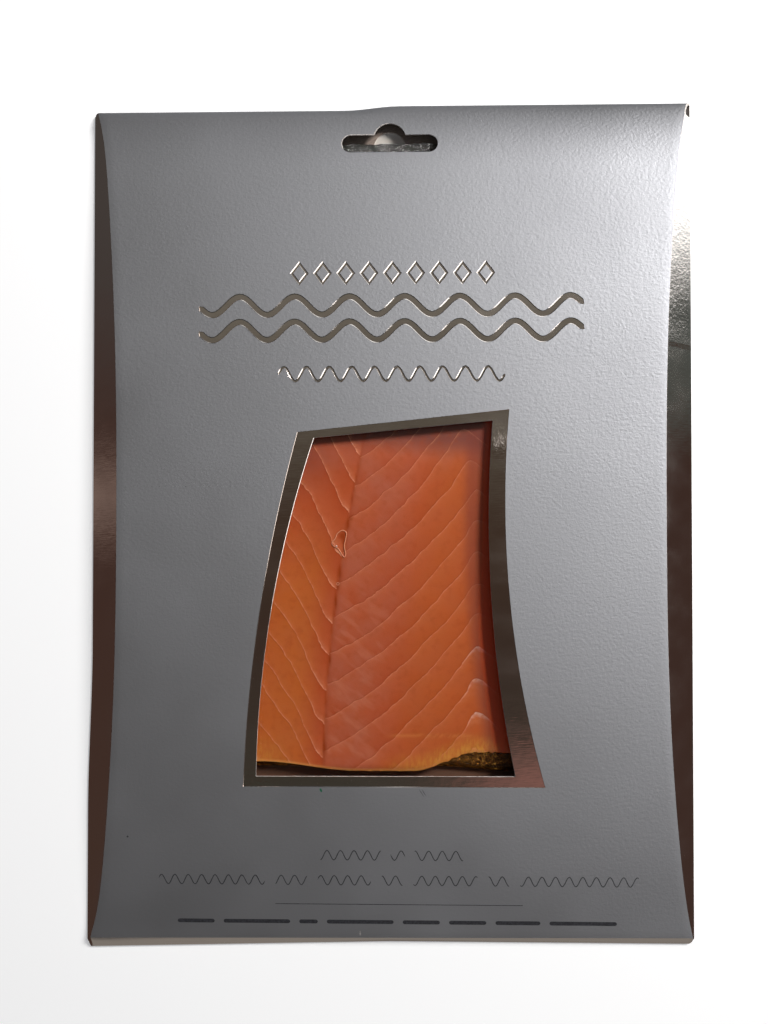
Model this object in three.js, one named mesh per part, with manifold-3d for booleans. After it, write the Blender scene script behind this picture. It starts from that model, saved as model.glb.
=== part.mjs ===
// A pack of smoked salmon, lying on its back: a folded card sleeve with a shaped window and a hang slot,
// and inside it the vacuum pouch with the salmon on its board.
// Millimetres. +X is to the right of the shown side, +Y towards the hang slot, +Z up out of the window.

import * as THREE from 'three';
import { mergeVertices } from 'three/addons/utils/BufferGeometryUtils.js';
import Module from 'manifold-3d';

const wasm = await Module();
wasm.setup();

const { lerp, smoothstep, clamp } = THREE.MathUtils;

// ---------------------------------------------------------------- driving dimensions

const CARD = 0.5;                  // thickness of the metallised card

const SLEEVE = {
  right: 100.6,                    // outer fold of the right side, straight
  left: -99.3,                     // outer fold of the left side, at the top
  leftSpread: 1.3,                 // how far the left fold leans out lower down
  top: 139.0,                      // top fold, left of the slot
  topStep: 1.4,                    // the fold is this much further out right of the slot
  topStepFrom: -15, topStepTo: 3,
  halfWidth: 98,                   // the front panel's rough half width, over which its ends slant
  bottom: -137.85,                 // outer fold of the bottom wall, right half
  bottomSpread: 2.55,              // how far that fold leans out towards the left corner
  bottomCrease: -135.7,            // crease between the front panel and the bottom wall
  creaseTilt: 0.008,               // that crease rises a little to the right
  edge: 0.6,                       // height of the outer folds
  leftSpreadFrom: -95, leftSpreadTo: -40,
  leftCreaseOut: 0.4,              // the left crease lies this much nearer its fold
};

const ARCH = 2.65;                 // power of the two curves below: 2 would be a parabola
const ARCH_END = 0.6;              // they end this far beyond the top fold

const FRONT = {
  peak: 9.6,                       // greatest height, over the salmon
  end: 2.6,                        // height at the top fold and at the bottom crease
  peakAt: -2.4,                    // where along the pack it is highest
  least: 2,                        // a strip is never drawn to a lower crease than this
};

const CREASE = {                   // the curved crease between the front panel and each side strip
  inset: 11.5,                     // widest part of the strip, seen from above
  insetAt: 0.6,
  topInset: 1.7,
  bottomInset: 0.9,
  shoulderAt: 14,                  // this far from both ends the crease swings in a little more
  leftShoulder: 1.0,
  rightShoulder: 0.5,
  wallInset: 1.2,                  // and this far in along the foot of the bottom wall
  leastInset: 0.75,                // width of the strip where the roll's right end meets its fold
};

const ROLL = {
  reach: 4.6,                      // how far the soft roll along the top edge reaches back
  steps: [0.12, 0.45, 0.75, 0.92, 1],
  through: 2,                      // the hollow comes out through the right end of the roll by this much
};

const SLOT = { x: 0.4, y: 126.5, width: 32, height: 6.2, bumpY: 128.2, bump: 5.4, backBump: 4.2 };

// Outlines cut off three corners, as steps in from the corner's two folds.
const ROLL_END = [[-1.3, 2], [-1.3, 0.2], [0.2, -1.5], [3, -1.5], [3, 2]];
const LEFT_WALL_END = [[3, 2.8], [0.2, 2.8], [-0.6, 1.8], [-2.0, -2], [3, -2]];
const RIGHT_WALL_END = [[3, 2.4], [0.2, 2.4], [-0.6, 1.4], [-3.2, -2], [3, -2]];

// Window corners, and how far each long side bows towards the left of its chord.
const WINDOW = {
  topLeft: [-24.1, 28.3], topRight: [33.6, 33.8], bottomRight: [40.9, -81.1], bottomLeft: [-43.0, -81.4],
  bowLeft: 4.1, bowRight: 4.1,
};
const BAND = {                     // the foil frame round the window, pressed into the card
  topLeft: [-29.5, 30.2], topRight: [39.0, 37.4], bottomRight: [50.6, -84.6], bottomLeft: [-47.2, -84.8],
  bowLeft: 3.2, bowRight: 5.7, sunk: 0.15,
};

const POUCH = { left: -88, right: 88, top: 122.6, bottom: -131, base: 0.8, film: 0.5 };
const BOARD = { left: -64, right: 66, top: 104, bottom: -81.4, thick: 1.0, ramp: 1.2 };
const SALMON = {
  left: -58, right: 48, top: 95, bottom: -81.1,
  leftLift: 3.1, rightLift: 6.2,   // the lower edge is this much higher at either side
  shoulders: { left: 5, right: 14, top: 6, bottom: 2.5 },
  thickAt: 20, thick: 4.4, thickTop: 2.6, thickBottom: 2.3, taper: 1.3,
  groove: 0.1, grooveHalf: 1.6,    // the seam between the two rows of flakes
};
// Where that seam runs, from below the lower edge to the top.
const SEAM = [[-21.5, -84], [-21.2, -66], [-18.8, -42], [-16.6, -19], [-12.6, 2.5], [-8.0, 28.6], [2, 96]];

const COLUMNS = 7;                 // facets across the front panel
const ROWS = 26;                   // facets along it

// ---------------------------------------------------------------- helpers

// A closed body from two matching grids of points: the upper skin, the lower skin, and a wall round them.
function bodyBetween(upper, lower) {
  const rows = upper.length;
  const cols = upper[0].length;
  const points = [...upper.flat(), ...lower.flat()];
  const up = (r, c) => r * cols + c;
  const down = (r, c) => rows * cols + r * cols + c;
  const index = [];
  const quad = (a, b, c, d) => index.push(a, b, c, a, c, d);
  for (let r = 0; r < rows - 1; r++) {
    for (let c = 0; c < cols - 1; c++) {
      quad(up(r, c), up(r, c + 1), up(r + 1, c + 1), up(r + 1, c));
      quad(down(r, c), down(r + 1, c), down(r + 1, c + 1), down(r, c + 1));
    }
    quad(up(r, 0), up(r + 1, 0), down(r + 1, 0), down(r, 0));
    quad(up(r + 1, cols - 1), up(r, cols - 1), down(r, cols - 1), down(r + 1, cols - 1));
  }
  for (let c = 0; c < cols - 1; c++) {
    quad(up(0, c + 1), up(0, c), down(0, c), down(0, c + 1));
    quad(up(rows - 1, c), up(rows - 1, c + 1), down(rows - 1, c + 1), down(rows - 1, c));
  }
  const geometry = new THREE.BufferGeometry();
  geometry.setAttribute('position', new THREE.Float32BufferAttribute(points.flat(), 3));
  geometry.setIndex(index);
  return geometry;
}

function toSolid(geometry) {
  const bare = geometry.clone();
  bare.deleteAttribute('normal');
  bare.deleteAttribute('uv');
  const merged = mergeVertices(bare, 1e-4);
  return new wasm.Manifold(new wasm.Mesh({
    numProp: 3,
    vertProperties: new Float32Array(merged.attributes.position.array),
    triVerts: new Uint32Array(merged.index.array),
  }));
}

function toGeometry(solid) {
  const { vertProperties, triVerts } = solid.getMesh();
  const geometry = new THREE.BufferGeometry();
  geometry.setAttribute('position', new THREE.BufferAttribute(vertProperties, 3));
  geometry.setIndex(new THREE.BufferAttribute(triVerts, 1));
  geometry.computeVertexNormals();
  return geometry;
}

// An outline raised into a prism between two heights.
function prism(shape, from, to, curveSegments = 16) {
  const geometry = new THREE.ExtrudeGeometry(shape, { depth: to - from, bevelEnabled: false, curveSegments });
  geometry.translate(0, 0, from);
  return toSolid(geometry);
}

// Four-cornered outline whose long sides bow to the left.
function bowedShape({ topLeft, topRight, bottomRight, bottomLeft, bowLeft, bowRight }) {
  const bowTo = (shape, from, to, bow) => {
    const chord = new THREE.Vector2(to[0] - from[0], to[1] - from[1]);
    const across = new THREE.Vector2(-Math.abs(chord.y), Math.sign(chord.y) * chord.x).normalize();
    const x = (from[0] + to[0]) / 2 + 2 * bow * across.x;
    const y = (from[1] + to[1]) / 2 + 2 * bow * across.y;
    shape.quadraticCurveTo(x, y, ...to);
  };
  const shape = new THREE.Shape();
  shape.moveTo(...topLeft);
  bowTo(shape, topLeft, bottomLeft, bowLeft);
  shape.lineTo(...bottomRight);
  bowTo(shape, bottomRight, topRight, bowRight);
  shape.closePath();
  return shape;
}

// A hang slot: a long round-ended slot with a round bump in its upper side.
function slotShape(bump) {
  const { x, y, width, height, bumpY } = SLOT;
  const r = height / 2;
  const straight = width / 2 - r;
  const rise = y + r - bumpY;
  const foot = Math.acos(rise / bump);
  const shape = new THREE.Shape();
  shape.moveTo(x - straight, y - r);
  shape.lineTo(x + straight, y - r);
  shape.absarc(x + straight, y, r, -Math.PI / 2, Math.PI / 2);
  shape.absarc(x, bumpY, bump, Math.PI / 2 - foot, Math.PI / 2 + foot);
  shape.absarc(x - straight, y, r, Math.PI / 2, 3 * Math.PI / 2);
  return shape;
}

// ---------------------------------------------------------------- card sleeve

const topFold = (x) => SLEEVE.top + SLEEVE.topStep * smoothstep(x, SLEEVE.topStepFrom, SLEEVE.topStepTo);
const bottomFold = (x) => SLEEVE.bottom - SLEEVE.bottomSpread * clamp(-x / SLEEVE.halfWidth, 0, 1);
const bottomCrease = (x) => SLEEVE.bottomCrease + SLEEVE.creaseTilt * x;
const leftFold = (y) => {
  const upright = smoothstep(y, SLEEVE.leftSpreadFrom, SLEEVE.leftSpreadTo);
  return SLEEVE.left - SLEEVE.leftSpread * (1 - upright);
};

// 1 at the peak of a curve along the pack, and 0 at either end.
function arch(y, peakAt) {
  const end = y > peakAt ? SLEEVE.top + ARCH_END : SLEEVE.bottomCrease;
  return 1 - clamp((y - peakAt) / (end - peakAt), 0, 1) ** ARCH;
}

const frontHeight = (y) => lerp(FRONT.end, FRONT.peak, arch(y, FRONT.peakAt));

// How far in from its fold a crease lies. Near both ends it swings in by up to `shoulder` more.
function creaseInset(y, shoulder) {
  const upper = y > CREASE.insetAt;
  const toEnd = upper ? SLEEVE.top + ARCH_END - y : y - SLEEVE.bottomCrease;
  const fromEnd = Math.max(toEnd, 0) / CREASE.shoulderAt;
  const curve = lerp(upper ? CREASE.topInset : CREASE.bottomInset, CREASE.inset, arch(y, CREASE.insetAt));
  return curve + shoulder * fromEnd * Math.exp(1 - fromEnd);
}

// The sleeve's skin, and its hollow: every wall moved inwards by the card's thickness.
const SKIN = { offset: 0, floor: 0, foldZ: SLEEVE.edge, foldY: 0, rimZ: 1.2, round: 0.3, through: 0 };
const HOLLOW = {
  offset: CARD, floor: CARD, foldZ: CARD + 0.05, foldY: 0.8, rimZ: CARD + 0.4, round: 0,
  through: ROLL.through,
};

// How far in from the outer fold a strip, moved inwards by `offset`, is at its foot and at any height.
function stripSection(inset, height, { offset }) {
  const rise = height - SLEEVE.edge;
  const slope = Math.hypot(inset, rise);
  const start = { x: offset * rise / slope, z: SLEEVE.edge - offset * inset / slope };
  const at = (z) => start.x + (z - start.z) * inset / rise;
  return { foot: offset ? at(offset) : 0, at };
}

// The rows of the front, from the bottom fold to the top fold, as functions of x.
function frontRows({ offset, foldZ, foldY, rimZ }, sunk) {
  const rollStart = (x) => topFold(x) - ROLL.reach;
  const panelZ = (y) => frontHeight(y) - offset - sunk;
  const rows = [(x) => ({ y: bottomFold(x) + foldY, z: foldZ, isFold: true })];
  for (let i = 0; i <= ROWS; i++) {
    rows.push((x) => {
      const y = lerp(bottomCrease(x) + 0.6 * offset, rollStart(x), i / ROWS);
      return { y, z: panelZ(y) };
    });
  }
  for (const step of ROLL.steps) {
    rows.push((x) => {
      const start = rollStart(x);
      const drop = Math.sqrt(1 - step * step);
      return { y: start + step * (ROLL.reach - offset), z: lerp(rimZ, panelZ(start), drop), rollFrom: start };
    });
  }
  return rows;
}

// The sleeve's skin or its hollow as a closed body, with the front panel `sunk` below its own height.
function sleeveBody(wall, sunk = 0) {
  const rows = frontRows(wall, sunk);
  const lastColumn = COLUMNS + 2;
  const upper = rows.map((row) => {
    const line = [];
    for (let c = 0; c <= lastColumn; c++) {
      const across = clamp((c - 1) / COLUMNS, 0, 1);
      const { y, z, isFold, rollFrom } = row(lerp(-SLEEVE.halfWidth, SLEEVE.halfWidth, across));
      const isRight = c > lastColumn / 2;
      const rightRoll = isRight && rollFrom !== undefined;
      const stripY = rightRoll ? rollFrom : y;
      const height = Math.max(frontHeight(stripY) - sunk, FRONT.least);
      const curve = creaseInset(stripY, isRight ? CREASE.rightShoulder : CREASE.leftShoulder);
      const strip = stripSection(curve, height, wall);
      const crest = Math.max(strip.at(rightRoll ? z : height - wall.offset), CREASE.leastInset);
      const inset = isFold ? strip.foot + CREASE.wallInset : crest;
      if (c === 0) {
        line.push([leftFold(y) + strip.foot, y, wall.foldZ]);
      } else if (c === lastColumn && rightRoll && wall.through) {
        line.push([SLEEVE.right + wall.through, y, z]);
      } else if (c === lastColumn) {
        line.push([SLEEVE.right - strip.foot, y, wall.foldZ]);
      } else {
        line.push([lerp(SLEEVE.left - SLEEVE.leftCreaseOut + inset, SLEEVE.right - inset, across), y, z]);
      }
    }
    return line;
  });
  const lower = upper.map((line, r) => line.map(([x, y], c) => {
    const side = (c === 0 ? 1 : 0) - (c === lastColumn ? 1 : 0);
    if (r === upper.length - 1) {
      return [x + side * wall.round, y - wall.round, Math.max(wall.floor, wall.round)];
    }
    return [x + side * wall.round, r === 0 ? y + wall.round : y, wall.floor];
  }));
  return toSolid(bodyBetween(upper, lower));
}

// Right through a corner of the sleeve, for an outline given as steps in from the corner's two folds.
function cornerCut(side, corner, steps) {
  const points = steps.map(([x, y]) => new THREE.Vector2(corner[0] + side * x, corner[1] + y));
  return prism(new THREE.Shape(points), -1, FRONT.peak);
}

function buildSleeve() {
  const above = FRONT.peak + 5;
  const pressed = prism(bowedShape(BAND), FRONT.end, above).subtract(sleeveBody(SKIN, BAND.sunk));
  const betweenPanels = 1.5;
  return sleeveBody(SKIN)
    .subtract(pressed)
    .subtract(sleeveBody(HOLLOW))
    .subtract(prism(bowedShape(WINDOW), FRONT.end, above))
    .subtract(prism(slotShape(SLOT.bump), betweenPanels, above))
    .subtract(prism(slotShape(SLOT.backBump), -1, betweenPanels))
    .subtract(cornerCut(-1, [SLEEVE.left, topFold(SLEEVE.left)], ROLL_END))
    .subtract(cornerCut(-1, [leftFold(-140), bottomFold(-100)], LEFT_WALL_END))
    .subtract(cornerCut(1, [SLEEVE.right, bottomFold(100)], RIGHT_WALL_END));
}

// ---------------------------------------------------------------- vacuum pouch

const seamCurve = new THREE.CatmullRomCurve3(SEAM.map(([x, y]) => new THREE.Vector3(x, y, 0)));

// The seam's x at a given y: the curve rises steadily, so halving the interval finds it.
function seamX(y) {
  let low = 0;
  let high = 1;
  for (let i = 0; i < 20; i++) {
    const middle = (low + high) / 2;
    if (seamCurve.getPoint(middle).y < y) {
      low = middle;
    } else {
      high = middle;
    }
  }
  return seamCurve.getPoint(low).x;
}

const salmonBottom = (x) => SALMON.bottom
  + SALMON.leftLift * smoothstep(-x, 14, 40)
  + SALMON.rightLift * smoothstep(x, 10, 29);

// Thickness of the salmon along the pack, away from its rounded edges.
function salmonThickness(y) {
  const { thickAt, thick, thickTop, thickBottom, taper, top, bottom } = SALMON;
  const [end, endThick] = y > thickAt ? [top, thickTop] : [bottom, thickBottom];
  return lerp(thick, endThick, clamp((y - thickAt) / (end - thickAt), 0, 1) ** taper);
}

// Height of the pouch's upper film: flat on the welded margin, up over the board, and up over the salmon.
function pouchTop(x, y) {
  const { left, right, top, shoulders } = SALMON;
  const onBoard = Math.min(x - BOARD.left, BOARD.right - x, y - BOARD.bottom, BOARD.top - y);
  const onSalmon = Math.min(
    (x - left) / shoulders.left,
    (right - x) / shoulders.right,
    (y - salmonBottom(x)) / shoulders.bottom,
    (top - y) / shoulders.top,
  );
  const round = Math.sqrt(1 - (1 - clamp(onSalmon, 0, 1)) ** 2);
  const fromSeam = Math.abs(x - seamX(y)) / SALMON.grooveHalf;
  const groove = SALMON.groove * Math.max(0, 1 - fromSeam);
  return POUCH.base + POUCH.film
    + BOARD.thick * smoothstep(onBoard, 0, BOARD.ramp)
    + round * (salmonThickness(y) - groove);
}

// Stations up a rounded shoulder, and evenly spaced ones between two values.
const shoulder = (from, to) => [0, 0.12, 0.4, 1].map((t) => lerp(from, to, t));
const spread = (from, to, count) =>
  Array.from({ length: count }, (_, i) => lerp(from, to, (i + 1) / (count + 1)));

// x of every column of the pouch's grid, at a row that lies near y.
function pouchColumns(y) {
  const { left, right, shoulders, grooveHalf } = SALMON;
  const seam = seamX(clamp(y, SALMON.bottom, SALMON.top));
  return [
    POUCH.left, BOARD.left, BOARD.left + BOARD.ramp,
    ...shoulder(left, left + shoulders.left),
    ...spread(left + shoulders.left, seam - grooveHalf, 3),
    seam - grooveHalf, seam, seam + grooveHalf,
    ...spread(seam + grooveHalf, right - shoulders.right, 5),
    ...shoulder(right, right - shoulders.right).reverse(),
    BOARD.right - BOARD.ramp, BOARD.right, POUCH.right,
  ];
}

// y of every row, where it crosses x.
function pouchRows(x) {
  const { top, shoulders } = SALMON;
  const bottom = salmonBottom(x);
  return [
    POUCH.bottom, BOARD.bottom, lerp(BOARD.bottom, bottom, 0.6),
    ...shoulder(bottom, bottom + shoulders.bottom),
    ...spread(bottom + shoulders.bottom, top - shoulders.top, 16),
    ...shoulder(top, top - shoulders.top).reverse(),
    BOARD.top - BOARD.ramp, BOARD.top, POUCH.top,
  ];
}

function buildPouch() {
  const upper = pouchRows(0).map((rowY, r) => pouchColumns(rowY).map((x) => {
    const y = pouchRows(x)[r];
    return [x, y, pouchTop(x, y)];
  }));
  const lower = upper.map((row) => row.map(([x, y]) => [x, y, POUCH.base]));
  return toSolid(bodyBetween(upper, lower));
}

// ---------------------------------------------------------------- the pack

function namedMesh(name, solid, color, roughness, metalness) {
  const mesh = new THREE.Mesh(
    toGeometry(solid),
    new THREE.MeshStandardMaterial({ color, roughness, metalness, flatShading: true }),
  );
  mesh.name = name;
  return mesh;
}

const pack = new THREE.Group();
pack.add(namedMesh('card_sleeve', buildSleeve(), 0x98989c, 0.4, 0.9));
pack.add(namedMesh('vacuum_pouch', buildPouch(), 0xc06a42, 0.3, 0));

export default pack;
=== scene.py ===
# %% [markdown]
# # A pack of smoked salmon
# A flat sleeve of metallised card holds a vacuum pouch with sliced salmon on a gold board. The frame holds
# the sleeve and the pouch at their real size. Here both get their finish: the card its matt front, mirror
# sides and pressed foil, and the pouch its clear film, its salmon and its board.

# %% The frame
import bpy
import math
import numpy as np
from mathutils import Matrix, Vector, noise


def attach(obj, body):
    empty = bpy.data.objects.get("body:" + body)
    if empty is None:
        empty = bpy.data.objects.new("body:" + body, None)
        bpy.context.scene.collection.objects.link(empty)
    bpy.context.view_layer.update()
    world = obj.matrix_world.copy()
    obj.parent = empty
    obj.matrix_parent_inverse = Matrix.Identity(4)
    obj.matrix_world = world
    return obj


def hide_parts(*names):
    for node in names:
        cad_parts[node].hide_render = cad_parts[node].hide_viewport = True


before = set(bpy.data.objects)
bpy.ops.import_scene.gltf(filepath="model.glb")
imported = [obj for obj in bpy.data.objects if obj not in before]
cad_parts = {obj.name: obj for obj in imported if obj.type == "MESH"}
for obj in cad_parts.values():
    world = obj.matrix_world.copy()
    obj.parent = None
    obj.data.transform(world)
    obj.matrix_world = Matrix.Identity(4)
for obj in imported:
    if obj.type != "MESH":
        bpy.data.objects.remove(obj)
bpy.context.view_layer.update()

MM = 0.001

# %% [markdown]
# ## Camera
# The pack can't stand, so it lies on its back and the camera looks straight down on it. A short lens close
# by shows the side strips falling away on every side, as a phone held over a table does. The tiny turns are
# the hand's. Making the camera first lets every later step be looked at through it.

# %% The camera
CAMERA_AT = (2.86, 1.07, 257.4)    # mm
CAMERA_TURN = (0.742, 0.986, -0.01)  # degrees
SENSOR, LENS = 36.0, 27.04         # mm

bpy.ops.object.camera_add(
    location=Vector(CAMERA_AT) * MM, rotation=[math.radians(a) for a in CAMERA_TURN])
camera = bpy.context.object
camera.name = "camera"
camera.data.sensor_width = SENSOR
camera.data.lens = LENS
bpy.context.scene.camera = camera
print("camera", [round(c, 4) for c in camera.location], "lens", LENS)

# %% [markdown]
# ## How the pieces are shaped
# Card, film and fish are all skins over a gentle landscape, so each begins as a grid primitive whose points
# are put in their places row by row. Two such sheets bridged along their rims make a closed body. A frame,
# a groove or a printed line is a loft: a grid whose columns go round the section and whose rows follow the
# path. Cuts are prisms taken away with a Boolean modifier, as a cutting die does.

# %% Selecting and joining
def deselect_all():
    if bpy.context.object and bpy.context.object.mode != "OBJECT":
        bpy.ops.object.mode_set(mode="OBJECT")
    bpy.ops.object.select_all(action="DESELECT")


def select_only(*pieces):
    deselect_all()
    for piece in pieces:
        piece.select_set(True)
    bpy.context.view_layer.objects.active = pieces[0]


def edit_all(*steps):
    """Runs edit-mode steps on all of the active piece."""
    bpy.ops.object.mode_set(mode="EDIT")
    bpy.ops.mesh.select_all(action="SELECT")
    for step in steps:
        step()
    bpy.ops.object.mode_set(mode="OBJECT")


def joined(*pieces):
    select_only(*pieces)
    bpy.ops.object.join()
    return pieces[0]


def face_outwards(piece):
    select_only(piece)
    edit_all(lambda: bpy.ops.mesh.normals_make_consistent(inside=False))


def apply_modifier(piece, kind, **settings):
    select_only(piece)
    modifier = piece.modifiers.new(kind.title(), kind)
    for name, value in settings.items():
        setattr(modifier, name, value)
    bpy.ops.object.modifier_apply(modifier=modifier.name)


# %% Sheets and closed bodies
def sheet(name, columns, rows, place, finish=None):
    """A grid of columns x rows faces.

    place(i, j) gives the points in millimetres, and finish(i, j) a face's material.
    """
    deselect_all()
    bpy.ops.mesh.primitive_grid_add(x_subdivisions=columns, y_subdivisions=rows, size=2)
    piece = bpy.context.object
    piece.name = name
    mesh = piece.data
    flat = np.empty(len(mesh.vertices) * 3)
    mesh.vertices.foreach_get("co", flat)
    u, v = (flat.reshape(-1, 3).T[:2] + 1) / 2
    if finish:
        middles = [((f.center.x + 1) / 2, (f.center.y + 1) / 2) for f in mesh.polygons]
        chosen = [finish(int(mu * columns), int(mv * rows)) for mu, mv in middles]
        kinds = list(dict.fromkeys(chosen))
        for material in kinds:
            mesh.materials.append(material)
        mesh.polygons.foreach_set("material_index", [kinds.index(material) for material in chosen])
    points = np.stack(place(np.rint(u * columns).astype(int), np.rint(v * rows).astype(int)), axis=1)
    mesh.vertices.foreach_set("co", (points * MM).ravel())
    mesh.update()
    return piece


def closed_body(name, columns, rows, upper, lower, finish=None, under_finish=None):
    """Two matching sheets, bridged along their rims."""
    piece = joined(sheet(name, columns, rows, upper, finish),
                   sheet(name + "_under", columns, rows, lower, under_finish or finish))
    bpy.ops.object.mode_set(mode="EDIT")
    bpy.ops.mesh.select_mode(type="EDGE")
    bpy.ops.mesh.select_all(action="DESELECT")
    bpy.ops.mesh.select_non_manifold(extend=False, use_wire=False, use_multi_face=False,
                                     use_non_contiguous=False, use_verts=False)
    bpy.ops.mesh.bridge_edge_loops()
    bpy.ops.object.mode_set(mode="OBJECT")
    face_outwards(piece)
    return piece


def loft(name, sections, closed, finish=None):
    """Sections of equal count along a path, skinned. finish lists a material for each side of the section."""
    sections = np.asarray(sections, float)
    count, sides = sections.shape[:2]
    rows = count if closed else count - 1
    side_finish = finish and (lambda i, j: finish[i])
    piece = sheet(name, sides, rows, lambda i, j: sections[j % count, i % sides].T, side_finish)
    edit_all(lambda: bpy.ops.mesh.remove_doubles(threshold=0.002 * MM))
    if not closed:
        edit_all(lambda: bpy.ops.mesh.fill_holes(sides=0))
    face_outwards(piece)
    return piece


def prism(name, outline, low, high):
    """A flat outline raised between two heights."""
    deselect_all()
    bpy.ops.mesh.primitive_circle_add(vertices=len(outline), fill_type="NGON")
    piece = bpy.context.object
    piece.name = name
    for vertex, (x, y) in zip(piece.data.vertices, outline):
        vertex.co = Vector((x, y, low)) * MM
    rise = {"value": (0, 0, (high - low) * MM)}
    edit_all(lambda: bpy.ops.mesh.extrude_region_move(TRANSFORM_OT_translate=rise))
    face_outwards(piece)
    return piece


def cut_away(piece, cutters):
    """Takes the cutters out of the piece. The cut faces keep the cutters' material."""
    cutter = joined(*cutters)
    apply_modifier(piece, "BOOLEAN", object=cutter, operation="DIFFERENCE", solver="MANIFOLD",
                   material_mode="TRANSFER")
    bpy.data.objects.remove(cutter)


def coat(piece, material):
    piece.data.materials.clear()
    piece.data.materials.append(material)


def places(piece):
    """The x, y and z of all points, in millimetres."""
    return np.array([v.co for v in piece.data.vertices]).T / MM


def report(piece):
    at = places(piece)
    triangles = sum(len(face.vertices) - 2 for face in piece.data.polygons)
    print(f"{piece.name}: {triangles} triangles, {at.min(1).round(1)} to {at.max(1).round(1)} mm")


def smooth_by_angle(piece, degrees):
    select_only(piece)
    bpy.ops.object.shade_smooth_by_angle(angle=math.radians(degrees))
    report(piece)


# %% Ramps and noise
def smoothstep(value, low, high):
    t = np.clip((np.asarray(value, float) - low) / (high - low), 0, 1)
    return t * t * (3 - 2 * t)


def mix(a, b, t):
    return a + (b - a) * t


def ripple(x, y, size, seed, octaves=2):
    """Smooth noise from -1 to 1 whose waves are about `size` millimetres long."""
    at = np.stack([np.ravel(x) / size, np.ravel(y) / size], axis=1)
    values = [noise.fractal((px, py, seed), 1.0, 2.0, octaves) for px, py in at]
    return np.reshape(values, np.shape(x))


# %% [markdown]
# ## Finishes
# Every finish starts from what the real one is. Colours are written as a designer would give them, in sRGB
# hex, and one function turns them to the linear values that the renderer mixes. One function adds a node.
# Patterns are drawn in millimetres of the object, so their grain keeps its true size.

# %% Colours and nodes
def linear(hex_colour):
    parts = [int(hex_colour[k:k + 2], 16) / 255 for k in (1, 3, 5)]
    return tuple(p / 12.92 if p <= 0.04045 else ((p + 0.055) / 1.055) ** 2.4 for p in parts) + (1.0,)


def connect(tree, made, inputs):
    """Gives a node's inputs, by number or name, plain values, hex colours or the outputs of other nodes."""
    for name, value in inputs.items() if isinstance(inputs, dict) else enumerate(inputs):
        if isinstance(value, bpy.types.NodeSocket):
            tree.links.new(value, made.inputs[name])
        else:
            made.inputs[name].default_value = linear(value) if isinstance(value, str) else value


def node(tree, kind, inputs=(), out=0, stops=(), **settings):
    """Adds a node, and gives back one of its outputs.

    The kind of a maths node is followed by its operation. The stops are a colour ramp's places and colours.
    """
    kind, *operation = kind.split()
    made = tree.nodes.new("ShaderNode" + kind)
    if operation:
        made.operation = operation[0]
    for name, value in settings.items():
        setattr(made, name, value)
    connect(tree, made, inputs)
    for _ in stops[2:]:
        made.color_ramp.elements.new(0.5)
    for k, (position, colour) in enumerate(stops):
        element = made.color_ramp.elements[k]
        element.position = position
        element.color = linear(colour)
    return made.outputs[out] if made.outputs else None


COLOURS = {"out": 2, "data_type": "RGBA"}      # settings with which a Mix node mixes its inputs 6 and 7


# %% Materials and patterns
def fill(tree, shader, **sockets):
    """Sets or links sockets of a shader, whose names are written small and with underscores."""
    connect(tree, shader, {
        name.replace("_", " ").title().replace("Ior", "IOR"): value for name, value in sockets.items()})


def new_material(name, **sockets):
    """A Principled material with its plain values set, its node tree and its shader."""
    material = bpy.data.materials.new(name)
    material.use_nodes = True
    tree = material.node_tree
    shader = tree.nodes["Principled BSDF"]
    fill(tree, shader, **sockets)
    return material, tree, shader


def place_mm(tree):
    """The place of a point on the object, in millimetres."""
    place = node(tree, "TexCoord", out="Object")
    return node(tree, "VectorMath SCALE", {0: place, "Scale": 1 / MM})


def across_and_along(tree):
    place = place_mm(tree)
    return [node(tree, "SeparateXYZ", [place], axis) for axis in "XY"]


def sized(tree, size, detail=2.0, roughness=0.5, stretch=(1, 1, 1), turn=0.0):
    """Inputs for a noise with spots of `size` millimetres, stretched along axes turned by `turn` degrees."""
    place = node(tree, "Mapping", {
        "Vector": place_mm(tree), "Scale": [size * s for s in stretch],
        "Rotation": (0, 0, math.radians(turn))}, vector_type="TEXTURE")
    return {"Vector": place, "Scale": 1.0, "Detail": detail, "Roughness": roughness}


def mottled(tree, pattern, low, high, least=0.0, most=1.0):
    """A noise of this pattern, whose values from low to high are spread from least to most."""
    return node(tree, "MapRange", [node(tree, "TexNoise", pattern), low, high, least, most])


# %% [markdown]
# ### Matt metallised board
# The front is board with a vacuum-coated aluminium film under a matt varnish. The film follows the board's
# fibres, so the surface is a fine orange peel: metal that scatters like a rough one, with a grain of about
# a millimetre that glitters softly where the light is strong. The grain is coarser towards the upper right
# corner. Just below the top fold the colour is painted darker, most at the right, as shade.

# %% Matt metallised board
GRAIN, GRAIN_DEPTH = 0.95, 0.0483  # mm, one bump of the board's orange peel
LINEN, LINEN_SHARE = 0.6, 0.55     # mm, the weave under it, and how much it adds
BOARD_SILVER = "#A3A4A8"

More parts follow.
